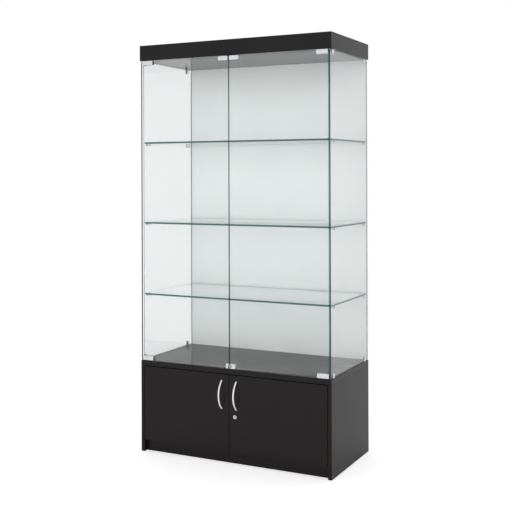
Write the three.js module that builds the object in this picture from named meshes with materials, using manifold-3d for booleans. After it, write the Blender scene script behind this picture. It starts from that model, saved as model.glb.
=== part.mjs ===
// Upright display cabinet: a black laminate cupboard with two hinged doors carries a glass
// showcase with two frameless glass doors, three glass shelves, a white back and a black canopy.
// Millimetres, +Z up, +X to the right of someone facing the doors, doors facing -Y.
import * as THREE from 'three';
import { mergeVertices } from 'three/addons/utils/BufferGeometryUtils.js';
import Module from 'manifold-3d';

const wasm = await Module();
wasm.setup();

// ---------------------------------------------------------------- driving dimensions
const WIDTH = 1000;
const DEPTH = 480;
const HEIGHT = 1980;
const CLEAR = 0.3;
const RUNNING = 0.08;

// cupboard
const BOARD = 18;
const DECK_T = 25;
const DECK_TOP = 445;
const DECK_UNDER = DECK_TOP - DECK_T;
const TOE_KICK_H = 56;
const TOE_KICK_BACK = 25;
const REVEAL = 3;
const DOOR_TOP_GAP = 3.5;
const CUPBOARD_BACK_T = 8;
const CUPBOARD_BACK_INSET = 2;
const CUPBOARD_BACK_LIFT = 3;
const DOOR_FOOT = 57;

// canopy
const CANOPY_H = 75;
const CANOPY_Z = HEIGHT - CANOPY_H;
const CEILING_T = 16;
const CANOPY_OVERHANG = 4;

// showcase glass
const GLASS_T = 6;
const SIDE_GLASS_INSET = 2.5;
const SIDE_GLASS_LIFT = 4;
const SIDE_GLASS_FRONT = 2;
const SIDE_GLASS_REAR_GAP = 1.5;
const BACK_T = 8;
const BACK_SIDE_GAP = 2;
const SHELF_T = 8;
const SHELF_TOPS = [770, 1118, 1509];
const SHELF_FRONT = 21;
const SHELF_REAR_GAP = 8;
const SHELF_SIDE_GAP = 2.5;

// both pairs of doors meet a little to the left of the middle
const MEETING_X = -14;

// glass doors, measured back from the front edge of the deck
const DOOR_GLASS_FRONT = 6;
const DOOR_GLASS_EDGE = 487;
const DOOR_MEETING = 1.5;
const PIVOT_INSET = 6;
const DOOR_LIFT = 4;
const PIVOT_X = 481;
const CLAMP_L = 56;
const CLAMP_H = 20;
const CLAMP_D = 17;
const CLAMP_LIFT = 1.5;
const PIN_R = 3;
const PIN_DEPTH = 8;
const CATCH_GAP = 4;
const CATCH_L = 50;
const CATCH_D = 12;
const CATCH_ROUND = 4;

// lock at the foot of the glass doors
const LOCK_X = MEETING_X + 5;
const LOCK_BOSS_R = 9;
const LOCK_PLUG_R = 6;
const LOCK_BODY_END = MEETING_X + 33;
const KEEPER_END = MEETING_X - 16;
const TONGUE_REACH = 18;
const TONGUE_W = 10;
const TONGUE_T = 3;
const KEYHOLE_W = 1.2;

// side glass clamps and shelf studs
const SIDE_CLAMP_L = 14;
const SIDE_CLAMP_H = 22;
const SIDE_CLAMP_W = 12;
const SIDE_CLAMP_DEPTHS = [24, 424];
const STUD_DEPTHS = [50, 430];
const STUD_DROP = 4.8;
const STUD_HOLE_R = 3.4;
const STUD_SHANK_R = 2.8;
const STUD_CAP_R = 6;
const STUD_PEG_R = 4.4;
const STUD_REACH = 19;

// cupboard door furniture
const HANDLE_X = 38.5;
const HANDLE_Z = 322;
const HANDLE_CENTRES = 128;
const HANDLE_REACH = 30.5;
const HANDLE_R = 3.5;
const CAM_LOCK_X = MEETING_X + 32;
const CAM_LOCK_Z = 224;
const CAM_LENGTH = 42;
const CAM_T = 3;
const CUP_INSET = 22;
const CUP_R = 17.2;
const CUP_DEPTH = 12;
const CUP_FLANGE_R = 20.5;
const CUP_FLANGE_T = 1.5;
const HINGE_HEIGHTS = [137, 338];
const HINGE_ARM_W = 14;
const HINGE_ARM_END = 105;
const HINGE_PLATE = { front: 55, rear: 98, half: 18, t: 3.6 };

// the whole object is centred on the middle of its bounding box, bow handles included
const FRONT_Y = -(DEPTH - HANDLE_REACH - HANDLE_R) / 2;

// ---------------------------------------------------------------- materials
function finish(color, roughness, metalness, opacity = 1) {
  return new THREE.MeshStandardMaterial({
    color, roughness, metalness, opacity, transparent: opacity < 1,
  });
}
const BLACK = finish(0x242325, 0.42, 0);
const WHITE = finish(0xe9ecec, 0.45, 0);
const GLASS = finish(0xcfe6de, 0.04, 0, 0.35);
const CHROME = finish(0xd8dadc, 0.12, 1);
const SATIN = finish(0xb4b5b6, 0.34, 1);
const NICKEL = finish(0xa9a9a7, 0.3, 1);

// ---------------------------------------------------------------- shape helpers
const model = new THREE.Group();
model.name = 'china_cabinet';

function add(name, geometry, material) {
  const flat = geometry.index ? geometry.toNonIndexed() : geometry;
  flat.deleteAttribute('uv');
  flat.translate(0, FRONT_Y, 0);
  flat.computeVertexNormals();
  const mesh = new THREE.Mesh(flat, material);
  mesh.name = name;
  model.add(mesh);
}

function block(x0, x1, y0, y1, z0, z1) {
  const g = new THREE.BoxGeometry(Math.abs(x1 - x0), Math.abs(y1 - y0), Math.abs(z1 - z0));
  g.translate((x0 + x1) / 2, (y0 + y1) / 2, (z0 + z1) / 2);
  return g;
}

function solid(geometry) {
  const bare = new THREE.BufferGeometry();
  bare.setAttribute('position', geometry.getAttribute('position').clone());
  if (geometry.index) bare.setIndex(geometry.index.clone());
  const g = mergeVertices(bare, 1e-4);
  const mesh = new wasm.Mesh({
    numProp: 3,
    vertProperties: new Float32Array(g.getAttribute('position').array),
    triVerts: new Uint32Array(g.index.array),
  });
  return new wasm.Manifold(mesh);
}

function shell(manifold) {
  const mesh = manifold.getMesh();
  const g = new THREE.BufferGeometry();
  g.setAttribute('position', new THREE.BufferAttribute(new Float32Array(mesh.vertProperties), 3));
  g.setIndex(new THREE.BufferAttribute(new Uint32Array(mesh.triVerts), 1));
  return g;
}

// round rods along Y, Z and X
function rodY(x, z, r, y0, y1, n = 32) {
  const g = new THREE.CylinderGeometry(r, r, y1 - y0, n);
  g.translate(x, (y0 + y1) / 2, z);
  return g;
}

function rodZ(x, y, r, z0, z1, n = 24) {
  const g = new THREE.CylinderGeometry(r, r, z1 - z0, n);
  g.rotateX(Math.PI / 2);
  g.translate(x, y, (z0 + z1) / 2);
  return g;
}

function rodX(y, z, r, x0, x1, n = 24) {
  const g = new THREE.CylinderGeometry(r, r, Math.abs(x1 - x0), n);
  g.rotateZ(Math.PI / 2);
  g.translate((x0 + x1) / 2, y, z);
  return g;
}

// a body turned about the Y axis from [radius, y] points
function turned(profile, n = 40) {
  return new THREE.LatheGeometry(profile.map(([r, h]) => new THREE.Vector2(r, h)), n);
}

// a plate with rounded corners in the XZ plane, from y0 back to y1
function roundedPlate(x0, x1, z0, z1, y0, y1, r) {
  const s = new THREE.Shape();
  s.moveTo(x0 + r, z0);
  s.lineTo(x1 - r, z0);
  s.absarc(x1 - r, z0 + r, r, -Math.PI / 2, 0, false);
  s.lineTo(x1, z1 - r);
  s.absarc(x1 - r, z1 - r, r, 0, Math.PI / 2, false);
  s.lineTo(x0 + r, z1);
  s.absarc(x0 + r, z1 - r, r, Math.PI / 2, Math.PI, false);
  s.lineTo(x0, z0 + r);
  s.absarc(x0 + r, z0 + r, r, Math.PI, Math.PI * 1.5, false);
  const g = new THREE.ExtrudeGeometry(s, { depth: y1 - y0, bevelEnabled: false, curveSegments: 5 });
  g.rotateX(Math.PI / 2);
  g.translate(0, y1, 0);
  return g;
}

// a plan outline in XY carried from z0 up to z1
function upright(points, z0, z1) {
  const s = new THREE.Shape(points.map(([x, y]) => new THREE.Vector2(x, y)));
  const g = new THREE.ExtrudeGeometry(s, { depth: z1 - z0, bevelEnabled: false });
  g.translate(0, 0, z0);
  return g;
}

const SIDES = [['left', -1], ['right', 1]];
const HALF = WIDTH / 2;
const INNER = HALF - BOARD;

// ---------------------------------------------------------------- cupboard carcass
for (const [side, s] of SIDES) {
  add(`side_panel_${side}`, block(s * INNER, s * HALF, 0, DEPTH, 0, DECK_UNDER - CLEAR), BLACK);
}
const BACK_FRONT = DEPTH - CUPBOARD_BACK_INSET - CUPBOARD_BACK_T;
add('bottom_panel', block(
  -INNER + CLEAR, INNER - CLEAR,
  BOARD + 1, BACK_FRONT - CLEAR,
  TOE_KICK_H, TOE_KICK_H + BOARD,
), BLACK);
add('toe_kick', block(
  -INNER + CLEAR, INNER - CLEAR,
  TOE_KICK_BACK, TOE_KICK_BACK + BOARD,
  0, TOE_KICK_H - CLEAR,
), BLACK);
add('cupboard_back', block(
  -INNER + CLEAR, INNER - CLEAR,
  BACK_FRONT, BACK_FRONT + CUPBOARD_BACK_T,
  CUPBOARD_BACK_LIFT, DECK_UNDER - CLEAR,
), BLACK);

const PIVOT_Y = DOOR_GLASS_FRONT + GLASS_T / 2;
const TONGUE_Y0 = PIVOT_Y + CLAMP_D / 2 + 1;
const TONGUE_Y1 = TONGUE_Y0 + TONGUE_T;
const LOCK_Z = DECK_TOP + CLAMP_LIFT + CLAMP_H / 2;

// the deck carries the sockets of the lower pivots and the slot the lock tongue turns down into
let deck = solid(block(-HALF, HALF, 0, DEPTH, DECK_UNDER, DECK_TOP));
for (const [, s] of SIDES) {
  deck = deck.subtract(solid(rodZ(
    s * PIVOT_X, PIVOT_Y, PIN_R + RUNNING, DECK_TOP - PIN_DEPTH - 1, DECK_TOP + 1,
  )));
}
deck = deck.subtract(solid(block(
  LOCK_X - TONGUE_W / 2 - 3, LOCK_X + TONGUE_REACH + 2,
  TONGUE_Y0 - 1.5, TONGUE_Y1 + 1.5,
  LOCK_Z - TONGUE_REACH - 3, DECK_TOP + 1,
)));
add('deck', shell(deck), BLACK);

// ---------------------------------------------------------------- canopy
const CANOPY_OUT = HALF + CANOPY_OVERHANG;
const CANOPY_IN = CANOPY_OUT - BOARD;
let frame = solid(block(-CANOPY_OUT, CANOPY_OUT, 0, DEPTH, CANOPY_Z, HEIGHT));
frame = frame.subtract(solid(block(
  -CANOPY_IN, CANOPY_IN, BOARD, DEPTH - BOARD, CANOPY_Z - 1, HEIGHT + 1,
)));
for (const [, s] of SIDES) {
  frame = frame.subtract(solid(rodZ(
    s * PIVOT_X, PIVOT_Y, PIN_R + RUNNING, CANOPY_Z - 1, CANOPY_Z + PIN_DEPTH + 1,
  )));
}
add('canopy_frame', shell(frame), BLACK);
for (const [name, z0] of [['canopy_ceiling', CANOPY_Z], ['canopy_lid', HEIGHT - CEILING_T]]) {
  add(name, block(
    -CANOPY_IN + CLEAR, CANOPY_IN - CLEAR,
    BOARD + CLEAR, DEPTH - BOARD - CLEAR,
    z0, z0 + CEILING_T,
  ), BLACK);
}

// ---------------------------------------------------------------- white back and side glass
const BACK_FACE = DEPTH - BACK_T;
const GLASS_OUT = HALF - SIDE_GLASS_INSET;
const GLASS_IN = GLASS_OUT - GLASS_T;
add('back_panel', block(
  -GLASS_IN + BACK_SIDE_GAP, GLASS_IN - BACK_SIDE_GAP,
  BACK_FACE, DEPTH,
  DECK_TOP + CLEAR, CANOPY_Z - CLEAR,
), WHITE);
for (const [side, s] of SIDES) {
  let pane = solid(block(
    s * GLASS_IN, s * GLASS_OUT,
    SIDE_GLASS_FRONT, DEPTH - SIDE_GLASS_REAR_GAP,
    DECK_TOP + SIDE_GLASS_LIFT, CANOPY_Z - SIDE_GLASS_LIFT,
  ));
  for (const top of SHELF_TOPS) {
    for (const d of STUD_DEPTHS) {
      pane = pane.subtract(solid(rodX(
        d, top - SHELF_T - STUD_DROP, STUD_HOLE_R, s * (GLASS_IN - 1), s * (GLASS_OUT + 1), 20,
      )));
    }
  }
  add(`side_glass_${side}`, shell(pane), GLASS);
}

// U-shaped clamps that hold the side glass to the deck and to the canopy
for (const [side, s] of SIDES) {
  for (const [end, d] of [['front', SIDE_CLAMP_DEPTHS[0]], ['rear', SIDE_CLAMP_DEPTHS[1]]]) {
    for (const [level, z0, z1] of [
      ['lower', DECK_TOP + CLEAR, DECK_TOP + SIDE_CLAMP_H],
      ['upper', CANOPY_Z - SIDE_CLAMP_H, CANOPY_Z - CLEAR],
    ]) {
      const outside = solid(block(s * (HALF - SIDE_CLAMP_W), s * HALF, d, d + SIDE_CLAMP_L, z0, z1));
      const slotZ = level === 'lower'
        ? [DECK_TOP + SIDE_GLASS_LIFT - CLEAR, z1 + 1]
        : [z0 - 1, CANOPY_Z - SIDE_GLASS_LIFT + CLEAR];
      const slot = solid(block(
        s * (GLASS_IN - CLEAR), s * (GLASS_OUT + CLEAR), d - 1, d + SIDE_CLAMP_L + 1,
        slotZ[0], slotZ[1],
      ));
      add(`side_clamp_${side}_${end}_${level}`, shell(outside.subtract(slot)), CHROME);
    }
  }
}

// ---------------------------------------------------------------- glass shelves and studs
SHELF_TOPS.forEach((top, i) => {
  add(`glass_shelf_${i + 1}`, block(
    -GLASS_IN + SHELF_SIDE_GAP, GLASS_IN - SHELF_SIDE_GAP,
    SHELF_FRONT, BACK_FACE - SHELF_REAR_GAP,
    top - SHELF_T, top,
  ), GLASS);
  for (const [side, s] of SIDES) {
    for (const [end, d] of [['front', STUD_DEPTHS[0]], ['rear', STUD_DEPTHS[1]]]) {
      // flat cap outside, shank through the glass, collar and peg inside
      const stud = turned([
        [0, HALF], [STUD_CAP_R, HALF], [STUD_CAP_R, GLASS_OUT + CLEAR],
        [STUD_SHANK_R, GLASS_OUT + CLEAR], [STUD_SHANK_R, GLASS_IN - CLEAR],
        [STUD_PEG_R, GLASS_IN - CLEAR], [STUD_PEG_R, GLASS_IN - STUD_REACH + 1],
        [STUD_PEG_R - 1, GLASS_IN - STUD_REACH], [0, GLASS_IN - STUD_REACH],
      ].reverse(), 24);
      stud.rotateZ(-Math.PI / 2);
      if (s < 0) stud.rotateZ(Math.PI);
      stud.translate(0, d, top - SHELF_T - STUD_DROP);
      add(`shelf_stud_${i + 1}_${side}_${end}`, stud, CHROME);
    }
  }
});

// ---------------------------------------------------------------- glass doors
const DOOR_Z0 = DECK_TOP + DOOR_LIFT;
const DOOR_Z1 = CANOPY_Z - DOOR_LIFT;
const LOWER_Z = [DECK_TOP + CLAMP_LIFT, DECK_TOP + CLAMP_LIFT + CLAMP_H];
const UPPER_Z = [CANOPY_Z - CLAMP_LIFT - CLAMP_H, CANOPY_Z - CLAMP_LIFT];
const CLAMP_Y = [PIVOT_Y - CLAMP_D / 2, PIVOT_Y + CLAMP_D / 2];
const GLASS_SLOT_Y = [DOOR_GLASS_FRONT - CLEAR, DOOR_GLASS_FRONT + GLASS_T + CLEAR];

// an arch cut out of the meeting corners, where the lock boss passes between the doors
function lockArch(margin, y0, y1) {
  const r = LOCK_BOSS_R + margin;
  const round = solid(rodY(LOCK_X, LOCK_Z, r, y0, y1, 48));
  return round.add(solid(block(LOCK_X - r, LOCK_X + r, y0, y1, DECK_TOP - 5, LOCK_Z)));
}

for (const [side, s] of SIDES) {
  const pane = solid(block(
    MEETING_X + s * DOOR_MEETING, s * DOOR_GLASS_EDGE,
    DOOR_GLASS_FRONT, DOOR_GLASS_FRONT + GLASS_T,
    DOOR_Z0, DOOR_Z1,
  ));
  add(`glass_door_${side}`, shell(pane.subtract(lockArch(1, -5, 30))), GLASS);

  const x0 = PIVOT_X + PIVOT_INSET - CLAMP_L;
  const x1 = PIVOT_X + PIVOT_INSET;
  for (const [level, z] of [['lower', LOWER_Z], ['upper', UPPER_Z]]) {
    const lower = level === 'lower';
    let clamp = solid(roundedPlate(
      Math.min(s * x0, s * x1), Math.max(s * x0, s * x1), z[0], z[1], CLAMP_Y[0], CLAMP_Y[1], 2,
    ));
    clamp = clamp.subtract(solid(block(
      s * (x0 - 1), s * (x1 + 1), GLASS_SLOT_Y[0], GLASS_SLOT_Y[1],
      lower ? DOOR_Z0 - CLEAR : z[0] - 1, lower ? z[1] + 1 : DOOR_Z1 + CLEAR,
    )));
    clamp = clamp.add(solid(rodZ(
      s * PIVOT_X, PIVOT_Y, PIN_R,
      lower ? DECK_TOP - PIN_DEPTH : z[1] - 1, lower ? z[0] + 1 : CANOPY_Z + PIN_DEPTH,
    )));
    add(`door_pivot_${side}_${level}`, shell(clamp), CHROME);
  }

  // magnetic catch plate clipped over the top edge at the meeting side
  const ends = [MEETING_X + s * CATCH_GAP, MEETING_X + s * (CATCH_GAP + CATCH_L)];
  const c0 = Math.min(...ends);
  const c1 = Math.max(...ends);
  const plate = solid(roundedPlate(
    c0, c1, UPPER_Z[0], UPPER_Z[1], PIVOT_Y - CATCH_D / 2, PIVOT_Y + CATCH_D / 2, CATCH_ROUND,
  ));
  const channel = solid(block(
    c0 - 1, c1 + 1, GLASS_SLOT_Y[0], GLASS_SLOT_Y[1], UPPER_Z[0] - 1, DOOR_Z1 + CLEAR,
  ));
  add(`catch_plate_${side}`, shell(plate.subtract(channel)), CHROME);
}

// ---------------------------------------------------------------- lock of the glass doors
// the housing grips the right door and its round boss stands in the arch between the doors
const lockSlot = solid(block(
  MEETING_X, LOCK_BODY_END + 1, GLASS_SLOT_Y[0], GLASS_SLOT_Y[1],
  DOOR_Z0 - CLEAR, LOWER_Z[1] + 1,
));
let housing = solid(roundedPlate(
  MEETING_X + 1, LOCK_BODY_END, LOWER_Z[0], LOWER_Z[1], CLAMP_Y[0], CLAMP_Y[1], 1.5,
));
housing = housing.subtract(lockSlot);
housing = housing.add(solid(rodY(LOCK_X, LOCK_Z, LOCK_BOSS_R, CLAMP_Y[0] - 1, CLAMP_Y[1], 40)));
housing = housing.subtract(solid(rodY(
  LOCK_X, LOCK_Z, LOCK_PLUG_R + RUNNING, CLAMP_Y[0] - 3, CLAMP_Y[1] + 3, 32,
)));
add('glass_lock_housing', shell(housing), CHROME);

// the plug turns in the boss, with the tongue on its inner end lying sideways when unlocked
let plug = solid(rodY(LOCK_X, LOCK_Z, LOCK_PLUG_R, CLAMP_Y[0] - 1.4, TONGUE_Y1, 32));
plug = plug.add(solid(roundedPlate(
  LOCK_X - TONGUE_W / 2, LOCK_X + TONGUE_REACH, LOCK_Z - TONGUE_W / 2, LOCK_Z + TONGUE_W / 2,
  TONGUE_Y0, TONGUE_Y1, 4.5,
)));
plug = plug.subtract(solid(block(
  LOCK_X - KEYHOLE_W / 2, LOCK_X + KEYHOLE_W / 2, CLAMP_Y[0] - 3, CLAMP_Y[0] + 3,
  LOCK_Z - 3.2, LOCK_Z + 3.2,
)));
add('glass_lock_plug', shell(plug), NICKEL);

// the keeper grips the left door beside the arch
let keeper = solid(roundedPlate(
  KEEPER_END, MEETING_X - DOOR_MEETING, LOWER_Z[0], LOWER_Z[1], CLAMP_Y[0], CLAMP_Y[1], 1.5,
));
keeper = keeper.subtract(solid(block(
  KEEPER_END - 1, MEETING_X, GLASS_SLOT_Y[0], GLASS_SLOT_Y[1], DOOR_Z0 - CLEAR, LOWER_Z[1] + 1,
)));
keeper = keeper.subtract(lockArch(0.7, -5, 30));
add('glass_lock_keeper', shell(keeper), CHROME);

// ---------------------------------------------------------------- cupboard doors
const DOOR_TOP = DECK_UNDER - DOOR_TOP_GAP;
const LEAF_MEETING = 1.25;
const BARREL_R = 7.6;
const CUP_HOLLOW_R = 14.5;

// the arc of the bow handles leans into the door at both ends, where it is cut off
const bowRadius = (HANDLE_REACH ** 2 + (HANDLE_CENTRES / 2) ** 2) / (2 * HANDLE_REACH);
const bowHalf = Math.asin(HANDLE_CENTRES / 2 / bowRadius) + HANDLE_R / bowRadius;
const bowPoints = [];
for (let i = 0; i <= 20; i += 1) {
  const a = bowHalf * (i / 10 - 1);
  bowPoints.push(new THREE.Vector3(
    0, bowRadius - HANDLE_REACH - bowRadius * Math.cos(a), bowRadius * Math.sin(a),
  ));
}
const handlePath = new THREE.CatmullRomCurve3(bowPoints);
const handleSection = new THREE.Shape();
handleSection.absarc(0, 0, HANDLE_R, 0, Math.PI * 2, false);

for (const [side, s] of SIDES) {
  let leaf = solid(block(
    MEETING_X + s * LEAF_MEETING, s * (INNER - REVEAL), 0, BOARD, DOOR_FOOT, DOOR_TOP,
  ));
  const cupX = s * (INNER - REVEAL - CUP_INSET);
  for (const z of HINGE_HEIGHTS) {
    leaf = leaf.subtract(solid(rodY(cupX, z, CUP_R + 0.4, BOARD - CUP_DEPTH, BOARD + 1, 40)));
  }
  if (s > 0) {
    leaf = leaf.subtract(solid(rodY(CAM_LOCK_X, CAM_LOCK_Z, BARREL_R + 0.4, -1, BOARD + 1, 36)));
  }
  add(`cupboard_door_${side}`, shell(leaf), BLACK);

  // concealed hinges: a cup let into the door and an arm screwed to the side panel
  HINGE_HEIGHTS.forEach((z, i) => {
    const level = i === 0 ? 'lower' : 'upper';
    const cupFloor = BOARD - CUP_DEPTH + 0.5;
    const flangeY = BOARD + CLEAR + CUP_FLANGE_T;
    const cup = turned([
      [0, cupFloor], [CUP_R, cupFloor], [CUP_R, BOARD + CLEAR],
      [CUP_FLANGE_R, BOARD + CLEAR], [CUP_FLANGE_R, flangeY], [CUP_HOLLOW_R, flangeY],
      [CUP_HOLLOW_R, cupFloor + 1.5], [0, cupFloor + 1.5],
    ], 40);
    cup.translate(cupX, 0, z);
    add(`hinge_cup_${side}_${level}`, cup, NICKEL);

    const armX = INNER - HINGE_PLATE.t + 0.2;
    const noseX = armX - 30;
    const spineX = armX - 8;
    const front = flangeY + 1;
    const shoulder = BOARD + 11;
    const outline = [
      [s * armX, front], [s * armX, HINGE_ARM_END], [s * spineX, HINGE_ARM_END],
      [s * spineX, shoulder], [s * noseX, shoulder], [s * noseX, front],
    ];
    if (s < 0) outline.reverse();
    const arm = solid(upright(outline, z - HINGE_ARM_W / 2, z + HINGE_ARM_W / 2));
    const plate = solid(block(
      s * (INNER - CLEAR), s * (INNER - HINGE_PLATE.t - CLEAR), HINGE_PLATE.front, HINGE_PLATE.rear,
      z - HINGE_PLATE.half, z + HINGE_PLATE.half,
    ));
    add(`hinge_arm_${side}_${level}`, shell(arm.add(plate)), NICKEL);
  });

  // bow handle: a round bar on a plain arc, cut off flush with the face of the door
  let bar = solid(new THREE.ExtrudeGeometry(handleSection, {
    steps: 40, extrudePath: handlePath, bevelEnabled: false, curveSegments: 8,
  }));
  bar = bar.subtract(solid(block(
    -HANDLE_R * 2, HANDLE_R * 2, -CLEAR, HANDLE_REACH, -HANDLE_CENTRES, HANDLE_CENTRES,
  )));
  bar = shell(bar.translate([MEETING_X + s * HANDLE_X, 0, HANDLE_Z]));
  add(`bow_handle_${side}`, bar, SATIN);
}

// ---------------------------------------------------------------- cam lock of the right door
const NUT_Y = [BOARD + CLEAR, BOARD + 3.8];
const NUT_R = 11;
const LIP_R = 9;
const LIP_T = 2.5;
const CORE_R = 4.6;
const CAM_HALF_W = 8;
const barrel = turned([
  [CORE_R + CLEAR, -LIP_T], [LIP_R - 0.4, -LIP_T], [LIP_R, -LIP_T + 0.5], [LIP_R, -CLEAR],
  [BARREL_R, -CLEAR], [BARREL_R, NUT_Y[0]], [NUT_R, NUT_Y[0]], [NUT_R, NUT_Y[1]],
  [CORE_R + CLEAR, NUT_Y[1]], [CORE_R + CLEAR, -LIP_T],
], 36);
barrel.translate(CAM_LOCK_X, 0, CAM_LOCK_Z);
add('cam_lock_barrel', barrel, CHROME);

const camFront = NUT_Y[1] + 0.4;
let cam = solid(rodY(CAM_LOCK_X, CAM_LOCK_Z, CORE_R, -LIP_T - 0.4, camFront + CAM_T + 0.2, 28));
cam = cam.add(solid(roundedPlate(
  CAM_LOCK_X - CAM_HALF_W, CAM_LOCK_X + CAM_HALF_W,
  CAM_LOCK_Z - CAM_LENGTH, CAM_LOCK_Z + CAM_HALF_W,
  camFront, camFront + CAM_T, 6,
)));
cam = cam.subtract(solid(block(
  CAM_LOCK_X - KEYHOLE_W / 2, CAM_LOCK_X + KEYHOLE_W / 2, -5, 3, CAM_LOCK_Z - 3, CAM_LOCK_Z + 3,
)));
add('cam_lock_plug', shell(cam), NICKEL);

export default model;
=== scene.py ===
"""Looks of the china cabinet: materials, fittings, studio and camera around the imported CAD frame.

Metres, +Z up, +X to the right of someone facing the doors, doors facing -Y.
"""
import math

import bmesh
import bpy
from mathutils import Matrix, Vector


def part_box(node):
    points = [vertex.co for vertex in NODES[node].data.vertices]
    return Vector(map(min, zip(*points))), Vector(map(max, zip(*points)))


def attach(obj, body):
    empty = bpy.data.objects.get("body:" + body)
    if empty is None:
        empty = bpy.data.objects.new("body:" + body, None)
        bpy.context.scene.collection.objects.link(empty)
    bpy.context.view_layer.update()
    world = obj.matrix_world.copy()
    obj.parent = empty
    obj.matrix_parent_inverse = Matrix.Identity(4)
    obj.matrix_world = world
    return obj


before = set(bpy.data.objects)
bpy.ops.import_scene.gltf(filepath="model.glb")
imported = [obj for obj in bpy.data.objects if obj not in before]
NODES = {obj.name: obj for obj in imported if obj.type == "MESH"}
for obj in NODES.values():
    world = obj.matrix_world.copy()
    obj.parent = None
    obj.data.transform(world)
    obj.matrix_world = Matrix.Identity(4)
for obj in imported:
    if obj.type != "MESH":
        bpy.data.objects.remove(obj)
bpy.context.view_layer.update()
MM = 0.001
SIDES = (("left", -1), ("right", 1))
LEVELS = ("lower", "upper")
ENDS = ("front", "rear")


# ------------------------------------------------------------------ node helpers
class Shader:
    """A material being put together: a node tree with one Principled shader in it."""

    def __init__(self, name):
        self.material = bpy.data.materials.new(name)
        self.material.use_nodes = True
        self.tree = self.material.node_tree
        self.tree.nodes.clear()
        self.out = self.node("ShaderNodeOutputMaterial")
        self.main = self.node("ShaderNodeBsdfPrincipled")
        self.join(self.main.outputs[0], self.out.inputs["Surface"])
        self.coords = self.node("ShaderNodeTexCoord")

    def node(self, kind, **settings):
        made = self.tree.nodes.new(kind)
        for key, value in settings.items():
            setattr(made, key, value)
        return made

    def join(self, source, target):
        self.tree.links.new(source, target)

    def set(self, **values):
        for key, value in values.items():
            self.main.inputs[key.replace("_", " ")].default_value = value

    def noise(self, scale, detail=3.0, roughness=0.5, stretch=(1, 1, 1)):
        """Noise over the object's own coordinates, in features per metre."""
        mapping = self.node("ShaderNodeMapping")
        mapping.inputs["Scale"].default_value = stretch
        self.join(self.coords.outputs["Object"], mapping.inputs["Vector"])
        texture = self.node("ShaderNodeTexNoise")
        texture.inputs["Scale"].default_value = scale
        texture.inputs["Detail"].default_value = detail
        texture.inputs["Roughness"].default_value = roughness
        self.join(mapping.outputs[0], texture.inputs["Vector"])
        return texture.outputs["Fac"]

    def spread(self, value, low, high, start=0.3, end=0.7):
        """value, from start to end, carried onto low to high."""
        node = self.node("ShaderNodeMapRange")
        for key, number in (
            ("From Min", start), ("From Max", end), ("To Min", low), ("To Max", high),
        ):
            node.inputs[key].default_value = number
        self.join(value, node.inputs["Value"])
        return node.outputs["Result"]

    def ramp(self, value, dark, light, start=0.3, end=0.7):
        node = self.node("ShaderNodeValToRGB")
        first, last = node.color_ramp.elements
        first.position, first.color = start, (*dark, 1)
        last.position, last.color = end, (*light, 1)
        self.join(value, node.inputs["Fac"])
        return node.outputs["Color"]

    def math(self, operation, a, b=None):
        node = self.node("ShaderNodeMath", operation=operation)
        for socket, value in zip(node.inputs, (a, b)):
            if isinstance(value, (int, float)):
                socket.default_value = value
            elif value is not None:
                self.join(value, socket)
        return node.outputs[0]

    def bump(self, height, distance, strength=1.0):
        node = self.node("ShaderNodeBump")
        node.inputs["Strength"].default_value = strength
        node.inputs["Distance"].default_value = distance
        self.join(height, node.inputs["Height"])
        self.join(node.outputs[0], self.main.inputs["Normal"])
        return node.outputs[0]

    def faces_along(self, axis, both_ways=False):
        """1 on the faces that look along an axis of the object, 0 on the others."""
        split = self.node("ShaderNodeSeparateXYZ")
        self.join(self.coords.outputs["Normal"], split.inputs[0])
        value = split.outputs[axis]
        if both_ways:
            value = self.math("ABSOLUTE", value)
        return self.math("GREATER_THAN", value, FLAT_ENOUGH)

    def choose(self, fac, first, second):
        """Shows the second shader where fac is 1 and the first elsewhere."""
        mix = self.node("ShaderNodeMixShader")
        self.join(fac, mix.inputs["Fac"])
        self.join(first.outputs[0], mix.inputs[1])
        self.join(second.outputs[0], mix.inputs[2])
        self.join(mix.outputs[0], self.out.inputs["Surface"])
        return mix


# ------------------------------------------------------------------ materials
# Scales are in features per metre, bump heights in metres.
CLOUD_SCALE = 6.0
RUB_SCALE = 9.0
PEARL_SCALE = 700.0
PEARL_HEIGHT = 0.006 * MM
PLASTIC_GRAIN = 900.0
PLASTIC_HEIGHT = 0.03 * MM
HAZE_SCALE = 9.0
HAZE_STEP = 0.008
EDGE_STREAKS = 60.0
EDGE_ROUGH = 0.3
EDGE_GLOSS = 0.03
# painted highlight: the light line along the side glasses' rear edges, which are green glass like the
# others
PAINTED_LIGHT_REAR_EDGE = ((0.50, 0.60, 0.58), (0.60, 0.70, 0.68))
GLASS_IOR = 1.5
FLAT_ENOUGH = 0.9
EVEN = (1, 1, 1)


def laminate(name, dark, light, rough, gloss, top_gloss=None):
    """Melamine-faced board: a fine pearl texture, with faint clouds in its colour and its sheen.

    With top_gloss, faces that look up have that gloss instead.
    """
    s = Shader(name)
    colour = s.ramp(s.noise(CLOUD_SCALE, 5.0), dark, light)
    sheen = s.spread(s.noise(RUB_SCALE, 2.0, 0.4, (1, 1, 0.5)), *rough)
    s.set(Specular_IOR_Level=gloss)
    grain = s.bump(s.noise(PEARL_SCALE, 2.0), PEARL_HEIGHT, 0.04)
    surfaces = [s.main]
    if top_gloss is not None:
        top = s.node("ShaderNodeBsdfPrincipled")
        top.inputs["Specular IOR Level"].default_value = top_gloss
        s.join(grain, top.inputs["Normal"])
        surfaces.append(top)
        s.choose(s.faces_along("Z"), s.main, top)
    for surface in surfaces:
        s.join(colour, surface.inputs["Base Color"])
        s.join(sheen, surface.inputs["Roughness"])
    return s.material


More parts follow.
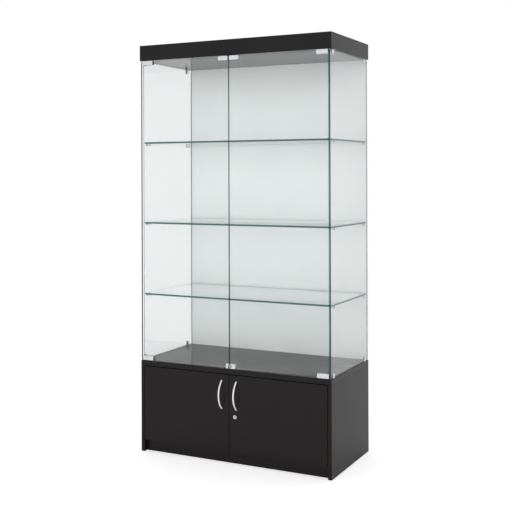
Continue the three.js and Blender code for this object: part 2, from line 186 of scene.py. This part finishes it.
def metal(name, dark, light, rough, grain, stretch, height, metallic=1.0):
    """Plated or brushed metal. grain and stretch set the size and the direction of its marks."""
    s = Shader(name)
    marks = s.noise(grain, 4.0, 0.6, stretch)
    s.join(s.ramp(marks, dark, light), s.main.inputs["Base Color"])
    s.join(s.spread(marks, *rough), s.main.inputs["Roughness"])
    s.set(Metallic=metallic)
    s.bump(marks, height, 0.4)
    return s.material


def plastic(name, dark, light, rough):
    """Moulded rubber or nylon with a fine even grain."""
    s = Shader(name)
    grain = s.noise(PLASTIC_GRAIN, 2.0)
    s.join(s.ramp(grain, dark, light), s.main.inputs["Base Color"])
    s.join(s.spread(grain, *rough), s.main.inputs["Roughness"])
    s.bump(grain, PLASTIC_HEIGHT, 0.6)
    return s.material


def glass(name, across, tint, shade, edge_colours, rear_edge=False):
    """Clear float glass. shade is the share of light that it lets through.

    across is the axis through the pane: the other faces are its green edges. With rear_edge, the
    edge at the back is pale: a painted highlight, the light line that the green rear edge shows.
    """
    s = Shader(name)
    haze = s.noise(HAZE_SCALE, 4.0)
    brighter = [value + HAZE_STEP for value in tint]
    s.join(s.ramp(haze, tint, brighter), s.main.inputs["Base Color"])
    s.set(Roughness=0.0, IOR=GLASS_IOR, Transmission_Weight=1.0)

    clear = s.node("ShaderNodeBsdfTransparent")
    clear.inputs["Color"].default_value = (*shade, 1)
    path = s.node("ShaderNodeLightPath")
    pane = s.choose(path.outputs["Is Shadow Ray"], s.main, clear)
    edge = s.node("ShaderNodeBsdfPrincipled")
    streaks = s.noise(EDGE_STREAKS, 3.0, 0.5, (1, 1, 0.15))
    s.join(s.ramp(streaks, *edge_colours), edge.inputs["Base Color"])
    edge.inputs["Roughness"].default_value = EDGE_ROUGH
    edge.inputs["Specular IOR Level"].default_value = EDGE_GLOSS
    if rear_edge:
        # painted highlight on the rear edge
        pale = s.node("ShaderNodeBsdfPrincipled")
        s.join(s.ramp(streaks, *PAINTED_LIGHT_REAR_EDGE), pale.inputs["Base Color"])
        pale.inputs["Roughness"].default_value = EDGE_ROUGH
        edge = s.choose(s.faces_along("Y"), edge, pale)
    s.choose(s.faces_along(across, both_ways=True), edge, pane)
    return s.material


# colours are linear, dark and light; BLACK_ROUGH is the range of the boards' roughness
BLACK_DARK = (0.0114, 0.0084, 0.0093)
BLACK_LIGHT = (0.0132, 0.0100, 0.0110)
# The side boards' warmer tone is painted light: the warm cast that light bounced off the floor gives
# them; they are the same black laminate as the doors.
SIDE_WARMTH_PAINTED_DARK = (0.0118, 0.0086, 0.0070)
SIDE_WARMTH_PAINTED_LIGHT = (0.0136, 0.0102, 0.0086)
NEUTRAL_DARK = (0.0106, 0.0096, 0.0102)
NEUTRAL_LIGHT = (0.0124, 0.0114, 0.0120)
WHITE_DARK = (0.79, 0.80, 0.797)
WHITE_LIGHT = (0.81, 0.82, 0.817)
BLACK_ROUGH = (0.175, 0.185)
BLACK_GLOSS = 0.22
SIDE_GLOSS = 0.195
DECK_TOP_GLOSS = 0.065
BLACK = laminate("black_laminate", BLACK_DARK, BLACK_LIGHT, BLACK_ROUGH, BLACK_GLOSS)
# painted light: this copy of the black laminate carries the floor's warm bounce in its colour
BLACK_SIDES_PAINTED_WARMTH = laminate("black_laminate_painted_side_warmth", SIDE_WARMTH_PAINTED_DARK, SIDE_WARMTH_PAINTED_LIGHT, BLACK_ROUGH, SIDE_GLOSS)
CANOPY_BLACK = laminate(
    "black_canopy", NEUTRAL_DARK, NEUTRAL_LIGHT, BLACK_ROUGH, BLACK_GLOSS,
)
DECK_BLACK = laminate(
    "black_worktop", NEUTRAL_DARK, NEUTRAL_LIGHT, BLACK_ROUGH, BLACK_GLOSS, DECK_TOP_GLOSS,
)
WHITE = laminate("white_laminate", WHITE_DARK, WHITE_LIGHT, (0.38, 0.44), 0.3)

PANE_TINT = (0.922, 0.938, 0.936)
SHELF_TINT = (0.972, 0.985, 0.982)
PANE_SHADE = (0.90, 0.925, 0.918)
SHELF_SHADE = (0.96, 0.975, 0.97)
TEAL_EDGE = ((0.0004, 0.080, 0.070), (0.0012, 0.110, 0.098))
# The dark edge colour is painted shade: the same green glass edges, darkened where they look dark on
# the left corner and in the gap where the doors meet. LEFT_GLASS and DOOR_GLASS take it; RIGHT_GLASS
# and the shelves keep the teal.
PAINTED_SHADE_EDGE = ((0.0006, 0.014, 0.012), (0.0012, 0.022, 0.018))
LEFT_GLASS = glass("clear_glass_left", "X", PANE_TINT, PANE_SHADE, PAINTED_SHADE_EDGE, rear_edge=True)
RIGHT_GLASS = glass("clear_glass_right", "X", PANE_TINT, PANE_SHADE, TEAL_EDGE, rear_edge=True)
DOOR_GLASS = glass("clear_glass_door", "Y", PANE_TINT, PANE_SHADE, PAINTED_SHADE_EDGE)
SHELF_GLASS = glass("clear_glass_shelf", "Z", SHELF_TINT, SHELF_SHADE, TEAL_EDGE)

CHROME = metal(
    "chrome", (0.90, 0.905, 0.91), (0.94, 0.945, 0.95), (0.20, 0.28),
    grain=90, stretch=EVEN, height=0.02 * MM, metallic=0.85,
)
SATIN = metal(
    "satin_metal", (0.93, 0.93, 0.93), (0.98, 0.98, 0.98), (0.40, 0.48),
    grain=260, stretch=(4, 4, 0.3), height=0.04 * MM, metallic=0.2,
)
NICKEL = metal(
    "nickel", (0.52, 0.51, 0.49), (0.66, 0.65, 0.63), (0.20, 0.34),
    grain=150, stretch=EVEN, height=0.03 * MM,
)
RUBBER = plastic("black_rubber", (0.012, 0.012, 0.012), (0.022, 0.022, 0.023), (0.55, 0.75))
NYLON = plastic("nylon", (0.66, 0.66, 0.63), (0.72, 0.72, 0.69), (0.35, 0.5))

# ------------------------------------------------------------------ finish of the CAD nodes
WELD = 0.01 * MM
CREASE = math.radians(35)
BOARD_ARRIS = 0.7 * MM
GLASS_ARRIS = 0.5 * MM
CLAMP_ARRIS = 0.5 * MM
SMALL_ARRIS = 0.3 * MM


def soften(ob, width, segments=2):
    """Rounds a CAD node's arrises without touching its mesh."""
    weld = ob.modifiers.new("weld", "WELD")
    weld.merge_threshold = WELD
    bevel = ob.modifiers.new("arris", "BEVEL")
    bevel.width = width
    bevel.segments = segments
    bevel.limit_method = "ANGLE"
    bevel.angle_limit = CREASE
    normals = ob.modifiers.new("normals", "WEIGHTED_NORMAL")
    normals.keep_sharp = False


def finish_nodes(names, material, arris, segments=2):
    """Gives CAD nodes their material and rounded arrises. With no arris, the edges stay sharp."""
    for name in names:
        ob = NODES[name]
        ob.data.materials.clear()
        ob.data.materials.append(material)
        if arris:
            soften(ob, arris, segments)


def matching(start):
    return [name for name in NODES if name.startswith(start)]


finish_nodes(matching("side_panel"), BLACK_SIDES_PAINTED_WARMTH, BOARD_ARRIS)
finish_nodes(
    matching("cupboard_door") + ["toe_kick", "bottom_panel", "cupboard_back"], BLACK, BOARD_ARRIS,
)
finish_nodes(matching("canopy"), CANOPY_BLACK, BOARD_ARRIS)
finish_nodes(["deck"], DECK_BLACK, BOARD_ARRIS)
finish_nodes(["back_panel"], WHITE, BOARD_ARRIS)
finish_nodes(["side_glass_left"], LEFT_GLASS, GLASS_ARRIS, 1)
finish_nodes(["side_glass_right"], RIGHT_GLASS, GLASS_ARRIS, 1)
finish_nodes(matching("glass_door"), DOOR_GLASS, GLASS_ARRIS, 1)
finish_nodes(matching("glass_shelf"), SHELF_GLASS, GLASS_ARRIS, 1)
finish_nodes(
    matching("side_clamp") + matching("door_pivot") + matching("catch_plate")
    + ["glass_lock_housing", "glass_lock_keeper"], CHROME, CLAMP_ARRIS,
)
finish_nodes(matching("shelf_stud") + ["cam_lock_barrel"], CHROME, SMALL_ARRIS)
finish_nodes(matching("bow_handle"), SATIN, 0)
finish_nodes(matching("hinge_") + ["glass_lock_plug", "cam_lock_plug"], NICKEL, SMALL_ARRIS)


# ------------------------------------------------------------------ shape helpers
def facing(point, direction):
    """A matrix that stands a shape on point, its own +Z along direction."""
    turn = Vector(direction).to_track_quat("Z", "Y").to_matrix().to_4x4()
    return Matrix.Translation(point) @ turn


def hexagon(radius):
    """Radius, by angle, of a hexagon whose corners are at radius."""
    sector = math.pi / 3
    return lambda a: radius * math.cos(sector / 2) / math.cos(a % sector - sector / 2)


def cross(reach, half):
    """Radius, by angle, of a cross with arms as long as reach and twice half in width."""

    def radius(a):
        c, s = max(abs(math.cos(a)), 1e-6), max(abs(math.sin(a)), 1e-6)
        return max(min(reach / c, half / s), min(reach / s, half / c))

    return radius


def turned(bm, rings, place, sides=24, tube=False):
    """A body turned about +Z of place. A ring is (radius, height); a radius may depend on the angle."""
    rows = []
    for radius, height in rings:
        row = []
        for i in range(sides):
            a = math.tau * i / sides
            r = radius(a) if callable(radius) else radius
            row.append(bm.verts.new(place @ Vector((r * math.cos(a), r * math.sin(a), height))))
        rows.append(row)
    if tube:
        rows.append(rows[0])
    for low, high in zip(rows, rows[1:]):
        for i in range(sides):
            j = (i + 1) % sides
            bm.faces.new((low[i], low[j], high[j], high[i]))
    if not tube:
        bm.faces.new(reversed(rows[0]))
        bm.faces.new(rows[-1])


def screw(bm, point, direction, radius, height, recess):
    """A screw head with a slightly domed rim; recess is the outline of its drive."""
    rim = [(1.0, 0.0), (1.0, 0.55), (0.93, 0.85), (0.8, 1.0)]
    drive = [(recess, height), (recess, height * 0.25)]
    rings = [(radius * out, height * up) for out, up in rim] + drive
    turned(bm, rings, facing(point, direction), 32)


def hex_screw(bm, point, direction, radius=2.6 * MM, height=0.5 * MM):
    screw(bm, point, direction, radius, height, hexagon(radius * 0.5))


def cross_screw(bm, point, direction, radius=3.2 * MM, height=1.0 * MM):
    screw(bm, point, direction, radius, height, cross(radius * 0.62, radius * 0.14))


def slab(bm, lo, hi, rounding, segments=2):
    """A block with rounded edges between two corners."""
    xs, ys, zs = zip(lo, hi)
    corners = [bm.verts.new((x, y, z)) for x in xs for y in ys for z in zs]
    sides = [(0, 1, 3, 2), (4, 6, 7, 5), (0, 4, 5, 1), (2, 3, 7, 6), (0, 2, 6, 4), (1, 5, 7, 3)]
    faces = [bm.faces.new([corners[i] for i in side]) for side in sides]
    edges = list({edge for face in faces for edge in face.edges})
    bmesh.ops.bevel(
        bm, geom=edges, offset=rounding, segments=segments, profile=0.5, affect="EDGES",
    )


def piece(name, body, material, shapes):
    """Makes one closed-mesh object from functions that add to its bmesh, and rides it on a body."""
    bm = bmesh.new()
    shapes(bm)
    bmesh.ops.recalc_face_normals(bm, faces=bm.faces)
    mesh = bpy.data.meshes.new(name)
    bm.to_mesh(mesh)
    bm.free()
    mesh.materials.append(material)
    mesh.shade_smooth()
    mesh.set_sharp_from_angle(angle=CREASE)
    ob = bpy.data.objects.new(name, mesh)
    bpy.context.scene.collection.objects.link(ob)
    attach(ob, body)
    return ob


def middle(node):
    lo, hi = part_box(node)
    return (lo + hi) / 2


# ------------------------------------------------------------------ fittings of the glass
CLAMP_H = 20 * MM
GAP = 0.3 * MM
LINER_T = 0.24 * MM  # within the gap between a clamp and its pane
LINER_EDGE = 0.3 * MM
# sizes of the black caps on the clamp ends, which are painted shadow and reflection
CAP_T = 0.6 * MM
CAP_INSET = 0.3 * MM
PIVOT_CAP_INSET = 1.2 * MM
FOOT_T = 0.8 * MM
FOOT_H = 19 * MM
PIVOT_SCREWS = (0.3, 0.7)  # shares of the clamp's length
KEEPER_SCREW = 6 * MM
HOUSING_SCREW = 8 * MM
PLUG_R = 6 * MM
# the lock's dark ring is painted shade around the plug
RING_CLEAR = 0.8 * MM
RING_W = 2.2 * MM
RING_PROUD = 0.5 * MM
SIDE_SCREW_R = 3.2 * MM
SLEEVE_START = 2 * MM
SLEEVE_L = 13 * MM
SLEEVE_IN_R = 4.42 * MM
SLEEVE_OUT_R = 4.74 * MM
# the back panel's dark strips are painted shadow for the shade in its gaps to the side glass; they
# stand proud by a different amount on each side
SHADE_STRIP_DEPTH = 2.5 * MM
SHADE_STRIP_SIDE_GAP = 0.1 * MM
SHADE_STRIP_PROUD = {"left": 3 * MM, "right": 1 * MM}


def liners(bm, clamp, glass, axis):
    """Two thin gasket liners between a clamp and both faces of its pane, a little proud of the clamp.
    """
    (clamp_lo, clamp_hi), (glass_lo, glass_hi) = clamp, glass
    for inside, outside in (
        (glass_hi[axis], glass_hi[axis] + LINER_T), (glass_lo[axis] - LINER_T, glass_lo[axis]),
    ):
        lo, hi = Vector(clamp_lo), Vector(clamp_hi)
        for other in range(3):
            if other != axis:
                lo[other] = max(lo[other] - LINER_EDGE, glass_lo[other])
                hi[other] = min(hi[other] + LINER_EDGE, glass_hi[other])
        lo[axis], hi[axis] = inside, outside
        slab(bm, lo, hi, LINER_T / 4, 1)


def painted_shade_caps(bm, clamp, glass, axis, along, ways, inset):
    """Black pieces on both jaws of a clamp, on the ends that look along an axis: painted shadow and
    reflection, standing for the dark shade and the dark deck reflected on the clamp ends.
    """
    (clamp_lo, clamp_hi), (glass_lo, glass_hi) = clamp, glass
    for way in ways:
        end = clamp_hi[along] if way > 0 else clamp_lo[along]
        for near, far in (
            (clamp_lo[axis] + inset, glass_lo[axis] - LINER_T),
            (glass_hi[axis] + LINER_T, clamp_hi[axis] - inset),
        ):
            lo, hi = Vector(clamp_lo), Vector(clamp_hi)
            lo.z, hi.z = lo.z + inset, hi.z - inset
            lo[axis], hi[axis] = near, far
            lo[along], hi[along] = sorted((end, end + way * CAP_T))
            slab(bm, lo, hi, CAP_T / 4, 1)


def clamp_box(node, level):
    """A pivot's clamp block, without the pin that reaches into the board."""
    lo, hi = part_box(node)
    if level == "lower":
        lo.z = hi.z - CLAMP_H
    else:
        hi.z = lo.z + CLAMP_H
    return lo, hi


def door_fittings(side, s):
    """Screws and liners of the clamps on one glass door, and black caps on the pivot clamps' ends that
    are painted shadow and reflection.
    """
    leaf = f"{side}_glass_leaf"
    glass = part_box(f"glass_door_{side}")
    boxes = [clamp_box(f"door_pivot_{side}_{level}", level) for level in LEVELS]
    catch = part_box(f"catch_plate_{side}")
    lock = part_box("glass_lock_keeper" if side == "left" else "glass_lock_housing")

    def screws(bm):
        for lo, hi in boxes:
            for share in PIVOT_SCREWS:
                x = lo.x + (hi.x - lo.x) * share
                hex_screw(bm, (x, hi.y, (lo.z + hi.z) / 2), (0, 1, 0))
        lo, hi = catch
        hex_screw(bm, ((lo.x + hi.x) / 2, hi.y, (lo.z + hi.z) / 2), (0, 1, 0))
        lo, hi = lock
        outer = lo.x + KEEPER_SCREW if s < 0 else hi.x - HOUSING_SCREW
        hex_screw(bm, (outer, hi.y, (lo.z + hi.z) / 2), (0, 1, 0))

    def liners_and_shade_caps(bm):
        for box in (*boxes, catch):
            liners(bm, box, glass, 1)
        for box in boxes:
            # black caps on the pivot clamps' ends: painted shadow and reflection
            painted_shade_caps(bm, box, glass, 1, 0, (-1, 1), PIVOT_CAP_INSET)

    piece(f"{side}_glass_door_screws", leaf, NICKEL, screws)
    piece(f"{side}_glass_door_liners_and_shade_caps", leaf, RUBBER, liners_and_shade_caps)


def lock_shade_ring():
    """A dark ring on the boss of the glass-door lock, around its plug: painted shade, for the shade in
    the gap around the plug.
    """
    plug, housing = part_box("glass_lock_plug"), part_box("glass_lock_housing")
    inner = PLUG_R + RING_CLEAR
    outer = inner + RING_W
    at = (plug[0].x + PLUG_R, housing[0].y, (housing[0].z + housing[1].z) / 2)

    def ring(bm):
        rings = [(inner, -GAP), (outer, -GAP), (outer, RING_PROUD), (inner, RING_PROUD)]
        turned(bm, rings, facing(at, (0, -1, 0)), 40, tube=True)

    piece("glass_lock_shade_ring", "right_glass_leaf", RUBBER, ring)


def side_glass_fittings(side, s):
    """Screws, liners, foot and stud sleeves of one fixed glass side; on the left side also black caps
    on the clamp ends, which are painted shadow and reflection.
    """
    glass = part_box(f"side_glass_{side}")
    clamps = [f"side_clamp_{side}_{end}_{level}" for end in ENDS for level in LEVELS]
    studs = [f"shelf_stud_{i}_{side}_{end}" for i in (1, 2, 3) for end in ENDS]

    def screws(bm):
        for name in clamps:
            at = middle(name)
            lo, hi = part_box(name)
            at.x = hi.x if s < 0 else lo.x
            hex_screw(bm, at, (-s, 0, 0), SIDE_SCREW_R)

    def liners_and_shade_caps(bm):
        for name in clamps:
            liners(bm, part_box(name), glass, 0)
            if s < 0:
                # black caps on the left clamps' ends only: painted shadow and reflection
                painted_shade_caps(bm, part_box(name), glass, 0, 1, (-1, 1), CAP_INSET)

    def foot(bm):
        lo, hi = glass
        slab(bm, (lo.x, lo.y - FOOT_T, lo.z), (hi.x, lo.y, lo.z + FOOT_H), FOOT_T / 4, 1)

    def sleeves(bm):
        for name in studs:
            at = middle(name)
            lo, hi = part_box(name)
            at.x = (hi.x if s < 0 else lo.x) + s * SLEEVE_START
            turned(bm, [
                (SLEEVE_IN_R, 0), (SLEEVE_OUT_R, 0), (SLEEVE_OUT_R, SLEEVE_L), (SLEEVE_IN_R, SLEEVE_L),
            ], facing(at, (s, 0, 0)), 24, tube=True)

    piece(f"{side}_side_clamp_screws", "carcass", NICKEL, screws)
    piece(f"{side}_side_clamp_liners_and_shade_caps", "carcass", RUBBER, liners_and_shade_caps)
    piece(f"{side}_side_glass_foot", "carcass", RUBBER, foot)
    piece(f"{side}_shelf_stud_sleeves", "carcass", NYLON, sleeves)


def back_panel_shade_strips():
    """Dark strips in the gaps between the back panel and the side glass: painted shadow, for the shade
    in those gaps.
    """
    panel_lo, panel_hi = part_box("back_panel")

    def strips(bm):
        for side, s in SIDES:
            lo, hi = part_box(f"side_glass_{side}")
            inner = hi.x if s < 0 else lo.x
            edge = panel_lo.x if s < 0 else panel_hi.x
            near, far = sorted((inner - s * SHADE_STRIP_SIDE_GAP, edge + s * SHADE_STRIP_SIDE_GAP))
            front, rear = panel_lo.y - SHADE_STRIP_PROUD[side], panel_lo.y + SHADE_STRIP_DEPTH
            slab(bm, (near, front, lo.z), (far, rear, hi.z), SMALL_ARRIS, 1)

    piece("back_panel_shade_strips", "carcass", RUBBER, strips)


CATCH_CLEAR = 0.8 * MM  # from the plates to the body of the catch
CATCH_HALF = 24 * MM
CATCH_DEEP = 14 * MM
CATCH_HIGH = 13 * MM
POLE_X = 12 * MM
POLE_HALF = 7 * MM
POLE_DEEP = 2 * MM
POLE_FOOT = 3 * MM
POLE_HEAD = 4 * MM
CATCH_SCREW_X = 18 * MM


def magnet_catch():
    """A double magnetic catch under the canopy, just behind the two catch plates."""
    left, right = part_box("catch_plate_left"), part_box("catch_plate_right")
    x = (left[1].x + right[0].x) / 2
    front = right[1].y + CATCH_CLEAR
    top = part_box("canopy_ceiling")[0].z
    foot = top - CATCH_HIGH

    def body(bm):
        lo = (x - CATCH_HALF, front, foot)
        hi = (x + CATCH_HALF, front + CATCH_DEEP, top)
        slab(bm, lo, hi, 1.2 * MM, 3)

    def poles(bm):
        for s in (-1, 1):
            at = x + s * POLE_X
            lo = (at - POLE_HALF, front - GAP, foot + POLE_FOOT)
            hi = (at + POLE_HALF, front + POLE_DEEP, top - POLE_HEAD)
            slab(bm, lo, hi, 0.4 * MM)
        for s in (-1, 0, 1):
            at = (x + s * CATCH_SCREW_X, front + CATCH_DEEP / 2, foot)
            cross_screw(bm, at, (0, 0, -1), 2.6 * MM, 0.8 * MM)

    piece("magnet_catch_body", "carcass", RUBBER, body)
    piece("magnet_catch_steel", "carcass", NICKEL, poles)


# ------------------------------------------------------------------ fittings of the cupboard
CUP_SCREW_MARGIN = 3 * MM
PLATE_BACK = 56 * MM  # from the arm's front end to the screws of its mounting plate
PLATE_T = 3.6 * MM
PLATE_SCREW_Z = 13 * MM
ARM_TOP = 11.1 * MM
ARM_FRONT_SCREW = 24 * MM
ARM_REAR_SCREW = PLATE_BACK + 12 * MM
BUFFER_FROM_MEETING = 14 * MM
BUFFER_FROM_HINGE = 60 * MM
BUFFER_UP = 9 * MM
BUFFER_DOME = ((4.5, 0), (4.3, 0.45), (3.2, 0.75), (1.2, 0.8))  # mm
BACK_SCREWS = 5
BACK_SCREW_MARGIN = 60 * MM
COVER_DOME = ((9, 0), (9, 0.6), (8.2, 1.0), (2, 1.0))  # mm
COVER_SIDE = 52 * MM
COVER_END = 70 * MM


def in_metres(rings):
    return [(radius * MM, height * MM) for radius, height in rings]


def hinge_screws(side, s):
    """Screws of one cupboard door's concealed hinges, in the door and on the side board."""
    cups = [f"hinge_cup_{side}_{level}" for level in LEVELS]
    arms = [f"hinge_arm_{side}_{level}" for level in LEVELS]

    def cup_screws(bm):
        for name in cups:
            lo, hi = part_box(name)
            at = (lo + hi) / 2
            reach = (hi.z - lo.z) / 2 - CUP_SCREW_MARGIN
            for up in (-1, 1):
                cross_screw(bm, (at.x, hi.y, at.z + up * reach), (0, 1, 0), 2.3 * MM, 0.7 * MM)

    def arm_screws(bm):
        for name in arms:
            lo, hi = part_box(name)
            mid = (lo.z + hi.z) / 2
            wall = hi.x if s > 0 else lo.x
            for up in (-1, 1):
                at = (wall - s * PLATE_T, lo.y + PLATE_BACK, mid + up * PLATE_SCREW_Z)
                cross_screw(bm, at, (-s, 0, 0), 3.2 * MM)
            for back in (ARM_FRONT_SCREW, ARM_REAR_SCREW):
                at = (wall - s * ARM_TOP, lo.y + back, mid)
                cross_screw(bm, at, (-s, 0, 0), 3.6 * MM, 1.2 * MM)

    piece(f"{side}_hinge_cup_screws", f"{side}_cupboard_leaf", NICKEL, cup_screws)
    piece(f"{side}_hinge_arm_screws", "carcass", NICKEL, arm_screws)


def buffers(side, s):
    """Two clear buffers on the back of a cupboard door, where it closes on the bottom board."""
    lo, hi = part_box(f"cupboard_door_{side}")
    meeting = lo.x if s > 0 else hi.x
    hinged = hi.x if s > 0 else lo.x

    def discs(bm):
        for x in (meeting + s * BUFFER_FROM_MEETING, hinged - s * BUFFER_FROM_HINGE):
            turned(bm, in_metres(BUFFER_DOME), facing((x, hi.y, lo.z + BUFFER_UP), (0, 1, 0)))

    piece(f"{side}_cupboard_door_buffers", f"{side}_cupboard_leaf", NYLON, discs)


def carcass_fixings():
    """Screws through the cupboard's back, and the covers of the deck's cam fittings."""
    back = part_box("cupboard_back")
    floor = middle("bottom_panel")
    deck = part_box("deck")

    def back_screws(bm):
        reach = back[1].x - BACK_SCREW_MARGIN
        for i in range(BACK_SCREWS):
            x = reach * (2 * i / (BACK_SCREWS - 1) - 1)
            cross_screw(bm, (x, back[1].y, floor.z), (0, 1, 0), 3.6 * MM, 1.2 * MM)

    def covers(bm):
        for s in (-1, 1):
            for y in (deck[0].y + COVER_END, deck[1].y - COVER_END):
                at = (s * (deck[1].x - COVER_SIDE), y, deck[0].z)
                turned(bm, in_metres(COVER_DOME), facing(at, (0, 0, -1)), 32)

    piece("cupboard_back_screws", "carcass", NICKEL, back_screws)
    piece("deck_fitting_covers", "carcass", RUBBER, covers)


for side, s in SIDES:
    door_fittings(side, s)
    side_glass_fittings(side, s)
    hinge_screws(side, s)
    buffers(side, s)
back_panel_shade_strips()
lock_shade_ring()
magnet_catch()
carcass_fixings()


# ------------------------------------------------------------------ studio
FLOOR_RADIUS = 4.0
FLOOR_FADE = (1.0, 3.0)  # the floor is whole inside the first radius and gone beyond the second
FLOOR_GLOW = (0.06, 0.50)  # for indirect rays and for the camera
FLOOR_DARK = (0.880, 0.872, 0.860)
FLOOR_LIGHT = (0.905, 0.897, 0.885)
FLOOR_CLOUDS = 1.5
SURROUND_TINT = (0.97, 0.98, 1, 1)
WHITE_TINT = (1, 1, 1, 1)
FRONT_LIGHT = 0.68
BACK_LIGHT = 0.8
LIGHT_TURN = (-0.3, 0.6)  # the +Y of a direction where the front light gives way to the back light
SUN_PLACE = (0.8, -3.6, 1.15)
SUN_TARGET = (0, 0, 0.9)
SUN_ENERGY = 1.6
SUN_ANGLE = math.radians(56)


def floor_material():
    """Pale paint with faint clouds, which fades out with the distance from the middle."""
    s = Shader("floor_paint")
    paint = s.ramp(s.noise(FLOOR_CLOUDS, 3.0), FLOOR_DARK, FLOOR_LIGHT)
    s.join(paint, s.main.inputs["Base Color"])
    s.set(Roughness=0.7, Emission_Color=WHITE_TINT)
    path = s.node("ShaderNodeLightPath")
    glow = s.spread(path.outputs["Is Camera Ray"], *FLOOR_GLOW, 0, 1)
    s.join(glow, s.main.inputs["Emission Strength"])
    distance = s.node("ShaderNodeVectorMath", operation="LENGTH")
    s.join(s.coords.outputs["Object"], distance.inputs[0])
    fade = s.spread(distance.outputs["Value"], 0, 1, *FLOOR_FADE)
    s.choose(fade, s.main, s.node("ShaderNodeBsdfTransparent"))
    return s.material


def floor():
    bm = bmesh.new()
    bmesh.ops.create_circle(bm, cap_ends=True, segments=64, radius=FLOOR_RADIUS)
    mesh = bpy.data.meshes.new("floor")
    bm.to_mesh(mesh)
    bm.free()
    mesh.materials.append(floor_material())
    ob = bpy.data.objects.new("floor", mesh)
    bpy.context.scene.collection.objects.link(ob)


def surround():
    """White to the eye and through glass; a little dimmer in front than behind as a light."""
    world = bpy.data.worlds.new("studio")
    bpy.context.scene.world = world
    world.use_nodes = True
    tree = world.node_tree
    tree.nodes.clear()
    seen = tree.nodes.new("ShaderNodeBackground")
    seen.inputs["Color"].default_value = WHITE_TINT
    lit = tree.nodes.new("ShaderNodeBackground")
    lit.inputs["Color"].default_value = SURROUND_TINT
    coords = tree.nodes.new("ShaderNodeTexCoord")
    axes = tree.nodes.new("ShaderNodeSeparateXYZ")
    backdrop = tree.nodes.new("ShaderNodeMapRange")
    backdrop.inputs["From Min"].default_value = LIGHT_TURN[0]
    backdrop.inputs["From Max"].default_value = LIGHT_TURN[1]
    backdrop.inputs["To Min"].default_value = FRONT_LIGHT
    backdrop.inputs["To Max"].default_value = BACK_LIGHT
    tree.links.new(coords.outputs["Generated"], axes.inputs[0])
    tree.links.new(axes.outputs["Y"], backdrop.inputs["Value"])
    tree.links.new(backdrop.outputs["Result"], lit.inputs["Strength"])
    path = tree.nodes.new("ShaderNodeLightPath")
    direct = tree.nodes.new("ShaderNodeMath")
    direct.operation = "MAXIMUM"
    tree.links.new(path.outputs["Is Camera Ray"], direct.inputs[0])
    tree.links.new(path.outputs["Is Transmission Ray"], direct.inputs[1])
    mix = tree.nodes.new("ShaderNodeMixShader")
    tree.links.new(direct.outputs[0], mix.inputs["Fac"])
    tree.links.new(lit.outputs[0], mix.inputs[1])
    tree.links.new(seen.outputs[0], mix.inputs[2])
    out = tree.nodes.new("ShaderNodeOutputWorld")
    tree.links.new(mix.outputs[0], out.inputs["Surface"])


def soft_light():
    """One wide soft light from the front, left out of the reflections on glossy surfaces."""
    light = bpy.data.lights.new("key", "SUN")
    light.energy = SUN_ENERGY
    light.angle = SUN_ANGLE
    ob = bpy.data.objects.new("key", light)
    bpy.context.scene.collection.objects.link(ob)
    ob.location = SUN_PLACE
    towards = Vector(SUN_TARGET) - Vector(SUN_PLACE)
    ob.rotation_euler = towards.to_track_quat("-Z", "Y").to_euler()
    ob.visible_glossy = False


def studio():
    """A plain pale floor that fades into a white surround, and one soft light."""
    floor()
    surround()
    soft_light()
    bpy.context.scene.view_settings.view_transform = "Standard"


# ------------------------------------------------------------------ camera
LENS = 64.50
SENSOR = 36.0
FAR = 200.0
TURN = math.radians(26.66)
ROLL = math.radians(-0.178)
CAMERA_FROM_FRONT = Vector((2.0180, -3.7584, 1.3562))
SHIFT_Y = -0.1620


def camera():
    """Stands to the right of the doors and looks level, from between the two upper shelves."""
    data = bpy.data.cameras.new("camera")
    data.lens = LENS
    data.sensor_width = SENSOR
    data.shift_y = SHIFT_Y
    data.clip_end = FAR
    ob = bpy.data.objects.new("camera", data)
    bpy.context.scene.collection.objects.link(ob)
    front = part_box("deck")[0].y
    ob.location = CAMERA_FROM_FRONT + Vector((0, front, 0))
    upright = Matrix.Rotation(TURN, 4, "Z") @ Matrix.Rotation(math.pi / 2, 4, "X")
    ob.matrix_world = Matrix.Translation(ob.location) @ upright @ Matrix.Rotation(ROLL, 4, "Z")
    bpy.context.scene.camera = ob


studio()
camera()
